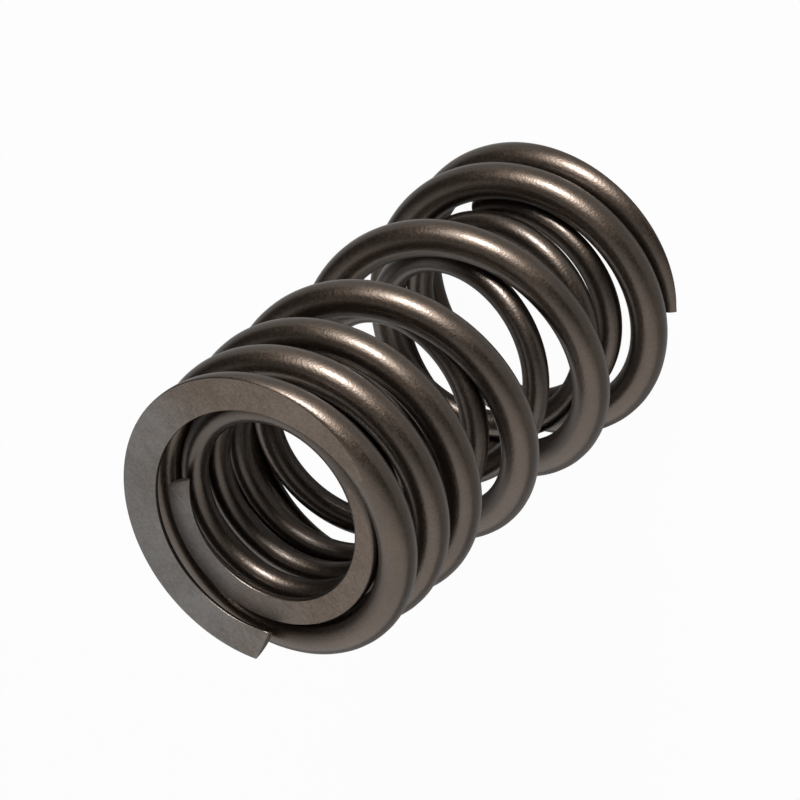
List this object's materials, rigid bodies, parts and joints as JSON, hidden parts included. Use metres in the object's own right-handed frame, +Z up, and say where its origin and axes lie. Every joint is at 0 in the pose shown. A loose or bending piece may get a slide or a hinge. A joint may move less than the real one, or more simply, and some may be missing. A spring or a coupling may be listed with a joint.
{
  "type": "engine valve spring",
  "caption": "Nested pair of steel compression springs, wound in opposite directions, that close an engine valve.",
  "frame": {"origin": "centre of the outer spring's bottom ground face", "axes": "+Z up the springs' common axis, from the open coils to the close-wound coils"},
  "size_m": [0.0328, 0.0328, 0.0574],
  "materials": {
    "outer_spring": "dark heat-treated spring steel, satin, lightly shot-peened",
    "inner_spring": "dark heat-treated spring steel, satin, lightly shot-peened"
  },
  "bodies": {
    "root": {"outer_spring": "outer_spring", "inner_spring": "inner_spring"}
  },
  "joints": []
}
